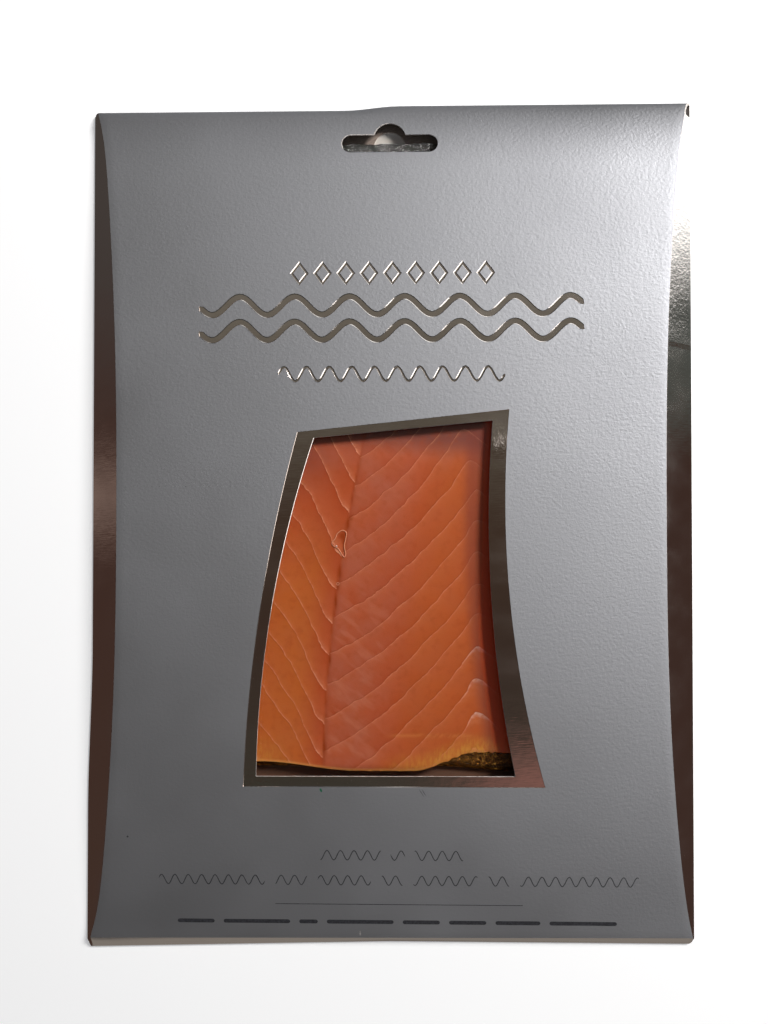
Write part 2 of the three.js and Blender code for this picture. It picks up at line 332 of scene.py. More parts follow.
silver_matt, tree, shader = new_material(
    "matt_metallised_board", metallic=1.0, roughness=0.65, base_color=BOARD_SILVER)
peel = node(tree, "TexNoise", sized(tree, GRAIN, 2.5, 0.6))
linen = node(tree, "TexNoise", sized(tree, LINEN, stretch=(3.4, 1, 1), turn=12))
height = node(tree, "Math MULTIPLY_ADD", [linen, LINEN_SHARE, peel])
across, along = across_and_along(tree)
for coarser in [(across, 10, 75, 1.1, 2.1), (along, -70, 60, 0.55, 1.2)]:
    height = node(tree, "Math MULTIPLY", [height, node(tree, "MapRange", coarser)])
# Painted shade: the colour darkens towards the top fold, more towards the right; varnish is how strong this
# painted shade is across the pack
near_fold = node(tree, "Math POWER", [node(tree, "MapRange", [along, 117, 137.5]), 1.6])
varnish = node(tree, "MapRange", [across, -60, 70, 0.22, 0.64])
painted_fold_shade = node(tree, "Math MULTIPLY", [near_fold, varnish])
fill(tree, shader,
     base_color=node(tree, "Mix", {0: painted_fold_shade, 6: BOARD_SILVER, 7: "#000000"}, **COLOURS),
     roughness=mottled(tree, sized(tree, 35), 0.3, 0.7, 0.62, 0.68),
     normal=node(tree, "Bump", {"Height": height, "Strength": 1.0, "Distance": GRAIN_DEPTH * MM}))
print(silver_matt.name, "grain", GRAIN, "mm")

# %% [markdown]
# ### Mirror foil
# The side strips, the frame and the pressed lines have no varnish: there the aluminium is bare and
# mirror-bright. It is laid on card, so it is never optically flat. A long soft wave and fine lines from the
# coating roll break its reflections up. Handling has crumpled two corners of the frame and rumpled the
# upper part of the right strip, where the card has also buckled into a small ridge across the strip.

# %% Mirror foil
FOIL_WAVE, ROLL_LINES = 5.0, 0.5   # mm
CRUMPLE, FOIL_DEPTH = 1.1, 0.05    # mm
# Place in mm, how far from it the crumples begin and are full, and their strength
CRUMPLED_CORNERS = [((-44, -83, 7.5), 7.5, 2.5, 2.6), ((35.4, 27.2, 8.5), 6.0, 1.0, 4.2)]
STRIP_FROM = 78                    # mm across, left of the right strip

foil_mirror, tree, shader = new_material(
    "bare_aluminium_foil", metallic=1.0, roughness=0.12, base_color="#EFE5DE")
wave = node(tree, "TexNoise", sized(tree, FOIL_WAVE))
lines = node(tree, "TexNoise", sized(tree, ROLL_LINES, stretch=(9, 1, 9), turn=4))
height = node(tree, "Math MULTIPLY_ADD", [lines, 0.26, wave])
across, along = across_and_along(tree)
on_strip = node(tree, "MapRange", [across, STRIP_FROM, STRIP_FROM + 2])
upper_part = node(tree, "MapRange", [along, 30, 62, 0.0, 1.3])
crumpled = node(tree, "Math MULTIPLY", [on_strip, upper_part])
for corner, begin, full, strength in CRUMPLED_CORNERS:
    away = node(tree, "VectorMath DISTANCE", [place_mm(tree), corner], "Value")
    near_corner = node(tree, "MapRange", [away, begin, full, 0.0, strength])
    crumpled = node(tree, "Math ADD", [crumpled, near_corner])
crumple = node(tree, "TexNoise", sized(tree, CRUMPLE, 3.0, 0.6))
height = node(tree, "Math MULTIPLY_ADD", [crumple, crumpled, height])
gentle_side = node(tree, "MapRange", [along, 67, 59.8])
steep_side = node(tree, "MapRange", [along, 58, 59.6, 0.0, 2.6])
ridge = node(tree, "Math MULTIPLY", [gentle_side, steep_side])
height = node(tree, "Math MULTIPLY_ADD", [ridge, on_strip, height])
fill(tree, shader,
     roughness=mottled(tree, sized(tree, 8, 4.0, stretch=(3, 1, 1)), 0.35, 0.75, 0.09, 0.2),
     normal=node(tree, "Bump", {"Height": height, "Strength": 1.0, "Distance": FOIL_DEPTH * MM}))
print(foil_mirror.name, "crumples", CRUMPLE, "mm wide")

# %% [markdown]
# ### Bare board, ink and film
# The inside and the cut edges are plain board: a dull pinkish grey with short fibres, lighter and warmer
# along a strip just below the fish, and painted darker at the right as shade inside the open roll. The print
# is a dark ink with a little varnish gloss.
# The film is clear and very thin, so it only shows by what it mirrors: a see-through shader mixed with a
# glossy one by the angle is closer to it than solid glass, which would shade what lies below. Where the
# film is loose it is crinkled, and several layers of it look grey.

# %% Bare board
board_core, tree, shader = new_material("uncoated_board", roughness=0.85, base_color="#948478")
fibre = node(tree, "TexNoise", sized(tree, 0.5, 4.0, stretch=(4, 1, 1), turn=20))
paper_tone = node(tree, "ValToRGB", [fibre], stops=[(0.3, "#7A6C62"), (0.7, "#9C8C80")])
across, along = across_and_along(tree)
# A lighter, warmer strip just below the fish, and painted shade darkening the board towards the open right
# end of the roll
for colour, warm_strip_and_painted_shade in [("#BC8A6C", (along, -74, -79, 0.0, 0.75)), ("#2E2622", (across, 84, 92, 0.0, 0.9))]:
    share = node(tree, "MapRange", warm_strip_and_painted_shade)
    paper_tone = node(tree, "Mix", {0: share, 6: paper_tone, 7: colour}, **COLOURS)
fill(tree, shader, base_color=paper_tone,
     normal=node(tree, "Bump", {"Height": fibre, "Strength": 0.6, "Distance": 0.03 * MM}))

cut_edge, tree, shader = new_material("cut_board_edge", roughness=0.7, base_color="#D8D0CA")
fibre = node(tree, "TexNoise", sized(tree, 0.8, 3.0))
fill(tree, shader, base_color=node(tree, "ValToRGB", [fibre], stops=[(0.35, "#A89E98"), (0.6, "#E8E2DC")]))
print(board_core.name, "and", cut_edge.name)

# %% Printed ink
ink, tree, shader = new_material("printed_ink", roughness=0.42, base_color="#303034")
density = node(tree, "TexNoise", sized(tree, 0.7))
fill(tree, shader, base_color=node(tree, "ValToRGB", [density], stops=[(0.3, "#2A2A2E"), (0.75, "#47474C")]))
print(ink.name)

# %% Clear film
CREASES, CRINKLES = 2.2, 1.3       # mm, where the film is tight and where it is loose
CRINKLED = 18.0                    # how much deeper the crinkles are than the creases

film_clear = bpy.data.materials.new("clear_barrier_film")
film_clear.use_nodes = True
tree = film_clear.node_tree
tree.nodes.clear()
loose = node(tree, "Attribute", out="Fac", attribute_name="loose")
crease = node(tree, "TexNoise", sized(tree, CREASES, 3.0, 0.6))
crinkle = node(tree, "TexNoise", sized(tree, CRINKLES, 4.0, 0.65))
deeper = node(tree, "Math MULTIPLY", [loose, CRINKLED])
height = node(tree, "Math MULTIPLY_ADD", [crinkle, deeper, crease])
normal = node(tree, "Bump", {"Height": height, "Strength": 1.0, "Distance": 0.05 * MM})
polish = node(tree, "MapRange", [loose, 0.0, 1.0, 0.1, 0.04])
gloss = node(tree, "BsdfGlossy", {"Roughness": polish, "Normal": normal, "Color": "#FFFFFF"})
see_through = node(tree, "Mix", {0: loose, 6: "#FDFCFC", 7: "#7C7876"}, **COLOURS)
clear = node(tree, "BsdfTransparent", {"Color": see_through})
grazing = node(tree, "LayerWeight", {"Blend": 0.5, "Normal": normal}, "Facing")
steep = node(tree, "Math POWER", [grazing, 5.0])
mirrored = node(tree, "Math MULTIPLY_ADD", [steep, 0.95, 0.05])
mirrored = node(tree, "Math MULTIPLY_ADD", [loose, 0.03, mirrored])
node(tree, "OutputMaterial", {"Surface": node(tree, "MixShader", [mirrored, clear, gloss])})
print(film_clear.name, "crinkles", CRINKLES, "mm wide")

# %% [markdown]
# ### Smoked salmon
# Salmon meat is a row of flakes with thin sheets of pale fat between them. The slice cuts them aslant, so
# the fat shows as fine lines that meet in chevrons, one family on either side of the dark middle seam. Each
# point of the fish carries how far it is along the flakes of both families, so the shader only has to draw
# a pale line at each whole number. The meat shades from pinkish just behind a line to deeper orange before
# the next one. Towards the thin lower edge the gold board shines through. The points also carry how much of
# each tint they take, so the tints are one list, laid on from the first to the last.

# %% Smoked salmon
DRIFT, WANDER = 0.28, 0.09         # how far the lines of fat stray, in flakes
CARRIED = ["from_seam", "left_flakes", "right_flakes", "hook", "fat", "fat_width", "warm", "pink", "shaded",
           "haze", "seam", "thin", "rim", "painted_penumbra", "painted_shadow_red"]

salmon_meat, tree, shader = new_material(
    "smoked_salmon_meat", roughness=0.45, ior=1.4, specular_ior_level=0.25,
    subsurface_weight=0.2, subsurface_scale=0.0008, subsurface_radius=(1.0, 0.35, 0.15))
carried = {name: node(tree, "Attribute", out="Fac", attribute_name=name) for name in CARRIED}

on_right = node(tree, "MapRange", [carried["from_seam"], -0.12, 0.12])
flake = node(tree, "Mix", {0: on_right, 2: carried["left_flakes"], 3: carried["right_flakes"]})
wander = node(tree, "TexNoise", sized(tree, 2.0, 4.0))
drift = node(tree, "TexNoise", sized(tree, 7.0, 3.0))
for stray, reach in [(wander, WANDER), (drift, DRIFT)]:
    flake = node(tree, "Math MULTIPLY_ADD", [stray, reach, flake])
share = node(tree, "Math FRACT", [flake])
rest = node(tree, "Math SUBTRACT", [1.0, share])
from_pale_side = node(tree, "Mix", {0: on_right, 2: rest, 3: share})

# %% The lines of fat
broken = mottled(tree, sized(tree, 1.3, 3.0), 0.38, 0.58, 0.35, 1.0)
fat = node(tree, "Math MULTIPLY", [carried["fat"], broken])
halo_width = node(tree, "Math MULTIPLY", [carried["fat_width"], 3.5])
halo = node(tree, "MapRange", [from_pale_side, halo_width, 0.0, 0.0, 0.5])
core = node(tree, "MapRange", [from_pale_side, carried["fat_width"], 0.0])
line_colour = node(tree, "Mix", {0: carried["hook"], 6: "#FEB48C", 7: "#F3C1AB"}, **COLOURS)
before_line = node(tree, "MapRange", [from_pale_side, 0.95, 0.985])
dark_side = node(tree, "MapRange", [wander, 0.4, 0.6, 0.08, 0.45])

# %% The tints of the meat
meat = node(tree, "ValToRGB", [from_pale_side], stops=[
    (0.0, "#DA7347"), (0.1, "#D66A3C"), (0.4, "#CF6030"), (0.85, "#C75625"), (1.0, "#C14D1C")])
pink_clouds = mottled(tree, sized(tree, 8, 4.0), 0.3, 0.65, 0.35, 1.0)
deep_clouds = mottled(tree, sized(tree, 2.4, 3.0), 0.5, 0.75, 0.0, 0.3)
haze_clouds = mottled(tree, sized(tree, 7.0, stretch=(0.4, 1.3, 1), turn=52), 0.5, 0.68)
streaks = mottled(tree, sized(tree, 1.6, 3.0, stretch=(0.5, 1.6, 1)), 0.4, 0.62, 0.45, 1.0)
for colour, share, strength in [
    ("#DA762C", carried["warm"], 0.75),          # golden where the meat is thin
    ("#C87156", carried["pink"], pink_clouds),
    ("#7F4942", carried["shaded"], 1.0),         # painted shadow below the window's upper edge
    ("#B95021", deep_clouds, 1.0),
    ("#DE8C6D", carried["haze"], haze_clouds),   # milky smears right of the seam
    ("#E79064", halo, fat),
    (line_colour, core, fat),
    ("#A24218", before_line, dark_side),
    ("#A7400A", carried["seam"], 1.0),
    ("#E29C42", carried["thin"], streaks),       # the gold board shines through
    ("#8A4238", carried["painted_penumbra"], 1.0),           # painted soft edge of the right wall's shadow, purplish
    ("#F75932", carried["painted_shadow_red"], 1.0),           # painted red inside that shadow
    ("#FFB460", carried["rim"], 1.0),            # painted highlight along the lower edge
]:
    amount = node(tree, "Math MULTIPLY", [share, strength])
    meat = node(tree, "Mix", {0: amount, 6: meat, 7: colour}, **COLOURS)
fibres = node(tree, "TexNoise", sized(tree, 0.6, 3.0, stretch=(1, 3, 1), turn=-40))
step = node(tree, "MapRange", [from_pale_side, 0.0, 0.2, 0.0, -1.0])
relief = node(tree, "Math ADD", [fibres, step])
fill(tree, shader, base_color=meat,
     normal=node(tree, "Bump", {"Height": relief, "Strength": 1.0, "Distance": 0.008 * MM}))
print(salmon_meat.name, len(tree.nodes), "nodes")

# %% [markdown]
# ### Gold board
# The fish lies on a card with a gold metallised face. Pressed against the ribbed film it looks crumpled,
# nearly black with bright gold specks.

# %% Gold board
gold, tree, shader = new_material(
    "gold_metallised_board", metallic=1.0, roughness=0.22, base_color="#A87838")
crumple = node(tree, "TexNoise", sized(tree, 0.8, 4.0, 0.65, stretch=(1, 1.6, 1)))
tone = node(tree, "TexNoise", sized(tree, 1.4))
fill(tree, shader,
     base_color=node(tree, "ValToRGB", [tone], stops=[
         (0.3, "#4E3216"), (0.55, "#8A5C28"), (0.75, "#D2A050")]),
     normal=node(tree, "Bump", {"Height": crumple, "Strength": 1.0, "Distance": 0.6 * MM}))
print(gold.name)

# %% [markdown]
# ## The card sleeve
# The sleeve is one piece of card. The front bulges over the fish: it is highest near its middle and falls
# in a curve to the top fold and the bottom crease. The side strips join it along curved creases, which only
# a bulging panel can have. These are the same few sizes that the frame was built from.

# %% Sleeve sizes
# All in millimetres
CARD = 0.5
SLEEVE_LEFT, SLEEVE_RIGHT = -99.3, 100.6
LEFT_SPREAD = 1.3                  # the left fold leans out by this much lower down
TOP, TOP_STEP = 139.0, 1.4
BOTTOM, BOTTOM_SPREAD, BOTTOM_CREASE = -137.85, 2.55, -135.7
FOLD_HEIGHT = 0.6
PEAK, PEAK_AT, END_HEIGHT = 9.6, -2.4, 2.6
INSET, INSET_AT, TOP_INSET, BOTTOM_INSET = 11.5, 0.6, 1.7, 0.9
ARCH_POWER = 2.65
SHOULDER_AT, LEFT_SHOULDER, RIGHT_SHOULDER = 14, 1.0, 0.5
FOLD_REACH = 4.6                   # depth of the roll along the top


def top_fold(x):
    return TOP + TOP_STEP * smoothstep(x, -15, 3)


def bottom_fold(x):
    return BOTTOM - BOTTOM_SPREAD * np.clip(-x / 98, 0, 1)


def bottom_crease(x):
    return BOTTOM_CREASE + 0.008 * x


def left_fold(y):
    return SLEEVE_LEFT - LEFT_SPREAD * (1 - smoothstep(y, -95, -40))


def arch(y, peak_at):
    """1 at the top of a curve along the pack, 0 at either end."""
    end = np.where(y > peak_at, TOP + 0.6, BOTTOM_CREASE)
    return 1 - np.clip((y - peak_at) / (end - peak_at), 0, 1) ** ARCH_POWER


def front_height(y):
    return mix(END_HEIGHT, PEAK, arch(np.asarray(y, float), PEAK_AT))


def crease_inset(y, shoulder):
    """How far in from the fold the crease lies. Near both ends it swings in by up to `shoulder` more."""
    end = np.where(y > INSET_AT, TOP_INSET, BOTTOM_INSET)
    from_end = np.maximum(np.where(y > INSET_AT, TOP + 0.6 - y, y - BOTTOM_CREASE), 0) / SHOULDER_AT
    return mix(end, INSET, arch(y, INSET_AT)) + shoulder * from_end * np.exp(1 - from_end)


# %% [markdown]
# The skin is two sheets: the front with its strips, wall and roll, and the flat back. The varnish stops at
# the creases, so every cell beyond them is mirror foil. A bevel rounds the folds, as scored card rounds. A
# smaller copy of the same body is taken out of it, which leaves the card's thickness. At the right that
# copy reaches out through the end of the roll, so the roll stays open there, as the real one does.

# %% The skin of the sleeve
STRIP_CELLS, PANEL_CELLS = 3, 64
PANEL_ROWS, ROLL_STEPS = 112, 8
COLUMNS = PANEL_CELLS + 2 * STRIP_CELLS
ROWS = 1 + PANEL_ROWS + ROLL_STEPS
HALF_SPREAD = 98


def sleeve_body(name, offset, fold_z, fold_y, rim_z, floor, tuck, finish, through=0):
    """The skin, or its hollow. `through` lets the right end of the roll reach this far out past the fold."""
    def upper(i, j):
        strip_share = np.where(i < PANEL_CELLS / 2, i, COLUMNS - i) / STRIP_CELLS
        across = np.clip((i - STRIP_CELLS) / PANEL_CELLS, 0, 1)
        x = mix(-HALF_SPREAD, HALF_SPREAD, across)
        roll_start = top_fold(x) - FOLD_REACH
        panel_y = mix(bottom_crease(x) + 0.6 * offset, roll_start, np.clip((j - 1) / PANEL_ROWS, 0, 1))
        angle = np.clip((j - 1 - PANEL_ROWS) / ROLL_STEPS, 0, 1) * math.pi / 2
        y = np.where(j == 0, bottom_fold(x) + fold_y, panel_y + np.sin(angle) * (FOLD_REACH - offset))
        crown = front_height(panel_y) - offset
        z = np.where(j == 0, fold_z, mix(rim_z, crown, np.cos(angle)))
        right_roll = (angle > 0) & (i > COLUMNS / 2)
        strip_y = np.where(right_roll, panel_y, y)
        inset = crease_inset(strip_y, np.where(i < COLUMNS / 2, LEFT_SHOULDER, RIGHT_SHOULDER))
        height = np.maximum(front_height(strip_y), 2)
        rise = height - FOLD_HEIGHT
        slope = np.hypot(inset, rise)
        start_x, start_z = offset * rise / slope, FOLD_HEIGHT - offset * inset / slope
        foot = start_x + (offset - start_z) * inset / rise if offset else 0
        crest = start_x + (np.where(right_roll, z, height - offset) - start_z) * inset / rise
        crest = np.where(j == 0, foot + 1.2, np.maximum(crest, 0.75))
        left_x, right_x = SLEEVE_LEFT - 0.4 + crest, SLEEVE_RIGHT - crest
        share = np.clip(strip_share, 0, 1)
        panel_x = mix(left_x, right_x, across)
        out_x = np.where(i < STRIP_CELLS, mix(left_fold(y) + foot, left_x, share), panel_x)
        opened = right_roll & (through > 0)
        right_end = np.where(opened, SLEEVE_RIGHT + through, SLEEVE_RIGHT - foot)
        out_x = np.where(i > COLUMNS - STRIP_CELLS, mix(right_end, right_x, share), out_x)
        return out_x, y, np.where(opened, z, mix(fold_z, z, share))

    def lower(i, j):
        x, y, _ = upper(i, j)
        side = (i == 0) * 1.0 - (i == COLUMNS) * 1.0
        end = (j == 0) * 1.0 - (j == ROWS) * 1.0
        return x + side * tuck, y + end * tuck, np.full(len(x), float(floor))

    back = finish(COLUMNS // 2, ROWS // 2)
    return closed_body(name, COLUMNS, ROWS, upper, lower, finish, lambda i, j: back)


def outer_finish(i, j):
    if i >= COLUMNS - STRIP_CELLS and j > PANEL_ROWS + 1:
        return cut_edge
    beyond_crease = i < STRIP_CELLS or i >= COLUMNS - STRIP_CELLS or j == 0
    return foil_mirror if beyond_crease else silver_matt


sleeve = sleeve_body("card_sleeve_finish", offset=0, fold_z=FOLD_HEIGHT, fold_y=0, rim_z=1.2,
                     floor=0, tuck=0.3, finish=outer_finish)
apply_modifier(sleeve, "BEVEL", width=0.28 * MM, segments=3, limit_method="ANGLE",
               angle_limit=math.radians(17), profile=0.5)
hollow = sleeve_body("hollow", offset=CARD, fold_z=CARD + 0.05, fold_y=0.8, rim_z=CARD + 0.4,
                     floor=CARD, tuck=0, finish=lambda i, j: board_core, through=2)
cut_away(sleeve, [hollow])
report(sleeve)

# %% [markdown]
# ## Window, frame and hang slot
# The window is a crooked four-sided opening whose long sides bow to the left. A band of bare foil runs
# round it, pressed a little way into the card. Both outlines are drawn side by side with the same number of
# points, so a section can be stretched from one to the other.

# %% Window outlines
WINDOW = {"corners": [(-24.1, 28.3), (-43.0, -81.4), (40.9, -81.1), (33.6, 33.8)], "bow": (4.1, 4.1)}
BAND = {"corners": [(-29.5, 30.2), (-47.2, -84.8), (50.6, -84.6), (39.0, 37.4)], "bow": (3.2, 5.7)}
BAND_SUNK = 0.15
SIDE_POINTS = (48, 36, 48, 28)


def bowed_side(start, end, bow, count):
    """A side as a shallow curve that bows to the left of the pack."""
    start, end = np.array(start, float), np.array(end, float)
    chord = end - start
    across = np.array([-abs(chord[1]), np.sign(chord[1]) * chord[0]]) / np.hypot(*chord)
    pull = (start + end) / 2 + 2 * bow * across
    t = np.arange(count)[:, None] / count
    return (1 - t) ** 2 * start + 2 * t * (1 - t) * pull + t ** 2 * end


def outline(corners, bow):
    bows = (bow[0], 0, bow[1], 0)
    sides = [bowed_side(corners[k], corners[(k + 1) % 4], bows[k], SIDE_POINTS[k]) for k in range(4)]
    return np.concatenate(sides)


window_edge = outline(**WINDOW)
band_edge = outline(**BAND)

# %% The pressed frame
def frame_section(outer, inner):
    """The frame from its outer lip, down its flank, across the foil and round the cut edge."""
    width = np.hypot(*(inner - outer))
    # The press leans, so the lower flank is the widest
    flank = 0.07 + 0.14 * max(0, (inner - outer)[1] / width)
    flat = np.linspace(0.04 + flank, width - 0.1, 6)
    profile = [(-0.05, 0.025), (0.03, 0.025), (0.04, 0.01)] + [(d, -BAND_SUNK) for d in flat]
    profile += [(width, -BAND_SUNK - 0.05), (width, -BAND_SUNK - CARD), (-0.05, -BAND_SUNK - CARD)]
    points = []
    for distance, height in profile:
        px, py = mix(outer, inner, distance / width)
        points.append((px, py, float(front_height(py)) + height))
    return points


window_frame = loft("window_frame", [frame_section(a, b) for a, b in zip(band_edge, window_edge)], True,
                    [silver_matt] + [foil_mirror] * 8 + [cut_edge, board_core, board_core])
smooth_by_angle(window_frame, 24)

# %% Hang slot outline
SLOT_X, SLOT_WIDTH, SLOT_HEIGHT, BUMP = 0.4, 32, 6.2, 5.4
FRONT_SLOT_Y, FRONT_BUMP_Y = 126.5, 128.2
BACK_SLOT_Y, BACK_BUMP_Y = 123.8, 126.6       # the folded card has slipped, so the back one lies lower


def arc(centre, radius, start, end, count=12):
    angles = np.linspace(start, end, count)
    return [(centre[0] + radius * math.cos(a), centre[1] + radius * math.sin(a)) for a in angles]


def slot_outline(y, bump_y):
    radius = SLOT_HEIGHT / 2
    straight = SLOT_WIDTH / 2 - radius
    foot = math.acos((y + radius - bump_y) / BUMP)
    return (arc((SLOT_X + straight, y), radius, -math.pi / 2, math.pi / 2)
            + arc((SLOT_X, bump_y), BUMP, math.pi / 2 - foot, math.pi / 2 + foot, 24)
            + arc((SLOT_X - straight, y), radius, math.pi / 2, 3 * math.pi / 2))


# %% [markdown]
# ## Pressed foil lines
# Above the window, rows of mirror foil are pressed into the varnish: here small lozenges, a large double
# wave and a fine one, plain ornament with nothing to read. Each line is a shallow groove with sloping
# walls. The groove is cut out of the card, and a loft with the groove's own section fills it.

# %% Paths of the pressed lines
PRESS = 0.16                       # mm, how deep the lines are pressed


def wave_path(x, y, width, length, swing, per_wave=22):
    count = round(width / length * per_wave)
    along = np.linspace(-width / 2, width / 2, count)
    return np.stack([x + along, y + swing * np.sin(2 * math.pi * along / length)], axis=1)


def lozenge_path(x, y, half_width, half_height, per_side=5):
    corners = [(1, 0), (0, 1), (-1, 0), (0, -1)]
    points = []
    for k in range(4):
        for t in np.linspace(0, 1, per_side, endpoint=False):
            cx, cy = mix(np.array(corners[k]), np.array(corners[(k + 1) % 4]), t)
            points.append((x + half_width * cx, y + half_height * cy))
    return np.array(points)


LOZENGES = [(lozenge_path(1.3 + 7.6 * k, 82.2, 2.5, 3.3), 0.95, True) for k in range(-4, 5)]
BIG_WAVES = [(wave_path(0.8, y, 125, 17.9, 3.0), 2.1, False) for y in (71.5, 63.2)]
FINE_WAVE = [(wave_path(1.0, 49.0, 73.4, 7.34, 2.3), 0.85, False)]
pressed_lines = LOZENGES + BIG_WAVES + FINE_WAVE


def across_path(path, closed):
    """The direction to the left of the path at each of its points, scaled so that a mitre keeps its width."""
    before = np.roll(path, 1, axis=0)
    after = np.roll(path, -1, axis=0)
    if not closed:
        before[0], after[-1] = path[0], path[-1]
    def left_of(step):
        length = np.maximum(np.hypot(*step.T), 1e-9)[:, None]
        return np.stack([-step[:, 1], step[:, 0]], axis=1) / length
    first, second = left_of(path - before), left_of(after - path)
    if not closed:
        first[0], second[-1] = second[0], first[-1]
    middle = first + second
    middle /= np.hypot(*middle.T)[:, None]
    return middle / np.maximum((middle * first).sum(1), 0.5)[:, None]


def rounded_ends(path, half, closed):
    """1 along the path, falling to nearly 0 at both ends like a half circle."""
    if closed:
        return np.ones(len(path))
    steps = np.hypot(*np.diff(path, axis=0).T)
    run = np.concatenate([[0], np.cumsum(steps)])
    reach = np.minimum(run, run[-1] - run)
    return np.sqrt(np.clip(1 - (1 - np.clip(reach / half, 0, 1)) ** 2, 0.02, 1))


def along_front(path, half, closed, profile):
    """Sections across a line on the front. The profile is (share of the half width, height) pairs."""
    left = across_path(path, closed)
    taper = rounded_ends(path, half, closed)
    sections = []
    for (x, y), (ax, ay), keep in zip(path, left, taper):
        points = [(x + ax * s * half * keep, y + ay * s * half * keep, h) for s, h in profile]
        sections.append([(px, py, float(front_height(py)) + h) for px, py, h in points])
    return sections


# %% Grooves and their foil
GROOVE_LIP, GROOVE_WALL = 0.05, 0.26                   # mm across
GROOVE_FINISH = ([foil_mirror, silver_matt] + [foil_mirror] * 5
                 + [silver_matt, foil_mirror, foil_mirror])

cutters = []
foil_parts = []
for k, (path, width, closed) in enumerate(pressed_lines):
    half = width / 2
    lip = GROOVE_LIP / half
    wall = GROOVE_WALL / half
    box = [(-1, -0.4), (-1, 1), (1, 1), (1, -0.4)]
    cutters.append(loft(f"groove_cut_{k}", along_front(path, half, closed, box), closed))
    groove = [(-1 - lip, -0.42), (-1 - lip, 0.02), (-1, 0.02), (-1 + wall * 0.3, -0.03), (-1 + wall, -PRESS),
              (1 - wall, -PRESS), (1 - wall * 0.3, -0.03), (1, 0.02), (1 + lip, 0.02), (1 + lip, -0.42)]
    foil_parts.append(loft(f"groove_{k}", along_front(path, half, closed, groove), closed, GROOVE_FINISH))
pressed_foil = joined(*foil_parts)
pressed_foil.name = "pressed_foil_lines"
smooth_by_angle(pressed_foil, 24)

# %% Cutting the sleeve
ABOVE = PEAK + 5
ROLL_END = [(-1.3, 2), (-1.3, 0.2), (0.2, -1.5), (3, -1.5), (3, 2)]       # bevels the left end of the roll


def corner_outline(side, corner, steps):
    return [(corner[0] + side * x, corner[1] + y) for x, y in steps]


def wall_end(width, depth):
    return [(3, depth), (0.2, depth), (-0.6, depth - 1), (-width, -2), (3, -2)]


top_left = (SLEEVE_LEFT, float(top_fold(SLEEVE_LEFT)))
bottom_left = (float(left_fold(-140)), float(bottom_fold(-100)))
bottom_right = (SLEEVE_RIGHT, float(bottom_fold(100)))
cutters += [
    prism("frame_cut", band_edge, END_HEIGHT, ABOVE),
    prism("slot_cut", slot_outline(FRONT_SLOT_Y, FRONT_BUMP_Y), 1.5, ABOVE),
    prism("back_slot_cut", slot_outline(BACK_SLOT_Y, BACK_BUMP_Y), -1, 1.4),
    prism("roll_end_left", corner_outline(-1, top_left, ROLL_END), -1, PEAK),
    prism("wall_end_left", corner_outline(-1, bottom_left, wall_end(2.0, 2.8)), -1, PEAK),
    prism("wall_end_right", corner_outline(1, bottom_right, wall_end(3.2, 2.4)), -1, PEAK),
]
for cutter in cutters:
    coat(cutter, cut_edge)
cut_away(sleeve, cutters)
smooth_by_angle(sleeve, 24)

# %% [markdown]
# ## Print
# Below the window the front is printed in a dark ink: two rows of fine waves, a thin rule and a row of
# heavier dashes. Ink has next to no thickness, so each mark is a thin strip that follows the bulge of the
# card.

# %% Printed marks
INK = 0.014                        # mm thick


def dash(x, y, length):
    near_end = (0, 0.05, 0.15, 0.35, 0.7)
    along = np.array([-length / 2 + e for e in near_end] + [length / 2 - e for e in near_end[::-1]])
    return np.stack([x + along, np.full(len(along), float(y))], axis=1)


def words(x, y, width, lengths, gap, make):
    """Marks of these relative lengths, spread over a width with equal gaps."""
    unit = (width - gap * (len(lengths) - 1)) / sum(lengths)
    at = x - width / 2
    marks = []
    for length in lengths:
        marks.append(make(at + length * unit / 2, y, length * unit))
        at += length * unit + gap
    return marks


def small_wave(x, y, length):
    return wave_path(x, y, length, 4.4, 1.6, per_wave=14)


marks = [(path, 0.3) for path in words(1.0, -107.4, 46.6, [5, 1.2, 4], 3.0, small_wave)]
marks += [(path, 0.3) for path in words(2.9, -115.9, 156.5, [10, 3, 5, 2, 6, 2, 11], 3.4, small_wave)]
marks += [(dash(3.3, -124.1, 81.0), 0.22)]
marks += [(path, 1.35) for path in words(2.5, -130.2, 144.0, [5, 9, 2.5, 9, 5, 5, 6, 9], 3.0, dash)]
flat_mark = [(-1, -0.2), (-1, INK), (1, INK), (1, -0.2)]
print_parts = [loft(f"mark_{k}", along_front(path, width / 2, False, flat_mark), False)
               for k, (path, width) in enumerate(marks)]
printed = joined(*print_parts)
printed.name = "printed_marks"
coat(printed, ink)
report(printed)

# %% [markdown]
# ## The pouch and what is in it
# Vacuum pulls the film down onto the fish, so the film's landscape is the fish's own: flat on the welded
# margin, a step up onto the board, and round shoulders up to the meat, with a shallow valley along the
# seam. The fish and the board are made from the same landscape, a hair lower.

# %% Pouch sizes
# All in millimetres
POUCH_LEFT, POUCH_RIGHT, POUCH_TOP, POUCH_BOTTOM, POUCH_BASE = -88, 88, 127.4, -131, 0.8
FILM, LIP_THICK = 0.5, 0.12
BOARD_LEFT, BOARD_RIGHT, BOARD_TOP, BOARD_BOTTOM = -64, 66, 104, -79.6
BOARD_THICK, BOARD_RAMP = 1.0, 0.8
BOARD_DROOP = 1.4                  # its lower edge bends down at the right
FISH_LEFT, FISH_RIGHT, FISH_TOP, FISH_BOTTOM = -58, 48, 95, -81.0
LEFT_LIFT, RIGHT_LIFT = 3.0, 6.2   # the lower edge is this much higher at either side
THICK_AT, THICK, THICK_TOP, THICK_BOTTOM = 20, 4.4, 2.6, 2.3
LEFT_ROUND, RIGHT_ROUND, LOW_ROUND, TOP_ROUND = 5, 14, 0.7, 6      # how wide its shoulders are
